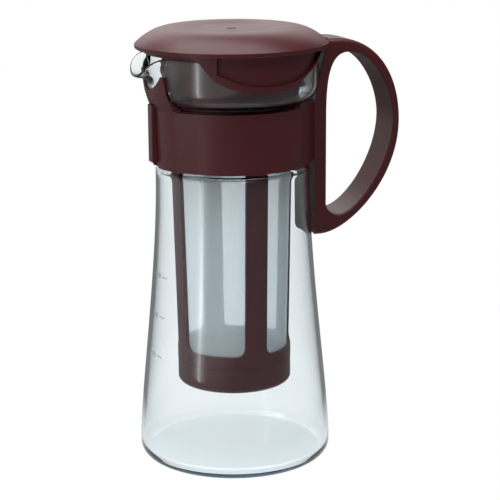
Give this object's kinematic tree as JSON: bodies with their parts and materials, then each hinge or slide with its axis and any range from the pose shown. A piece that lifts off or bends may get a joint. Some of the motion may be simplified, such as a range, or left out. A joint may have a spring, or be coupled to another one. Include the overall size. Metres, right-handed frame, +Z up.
{
  "type": "cold brew coffee pot",
  "caption": "Tapered glass carafe with a pouring beak, a plastic band with a looped strap handle, a domed lid and a tall mesh strainer with a screw-off foot.",
  "frame": {"origin": "centre of the round base, on the plane it stands on", "axes": "+Z up along the axis of the glass; +X towards the handle, so the pouring beak points to -X; the plane of X and Z is the plane of symmetry of the outer shape"},
  "size_m": [0.1363, 0.097, 0.2181],
  "materials": {
    "borosilicate_glass": "clear, polished",
    "printed_scale": "fired screen print",
    "brown_plastic": "satin moulded plastic",
    "woven_mesh": "fine woven polyester mesh"
  },
  "bodies": {
    "carafe": {"glass_carafe": "borosilicate_glass", "scale_marks": "printed_scale", "handle_band": "brown_plastic"},
    "clip": {"band_clip": "brown_plastic"},
    "strainer": {"strainer_frame": "brown_plastic", "side_mesh": "woven_mesh"},
    "lid": {"lid": "brown_plastic"},
    "foot_cap": {"base_cap": "brown_plastic", "base_mesh": "woven_mesh"}
  },
  "joints": [
    {"name": "clip_slide", "type": "slide", "parent": "carafe", "child": "clip", "axis": [0, 0, -1], "range_m": [0, 0.022]},
    {"name": "strainer_lift", "type": "slide", "parent": "carafe", "child": "strainer", "axis": [0, 0, 1], "range_m": [0, 0.18]},
    {"name": "lid_lift", "type": "slide", "parent": "strainer", "child": "lid", "axis": [0, 0, 1], "range_m": [0, 0.06]},
    {"name": "foot_cap_twist", "type": "hinge", "parent": "strainer", "child": "foot_cap", "pos_m": [0, 0, 0.045], "axis": [0, 0, 1], "range_deg": [0, 35]}
  ]
}
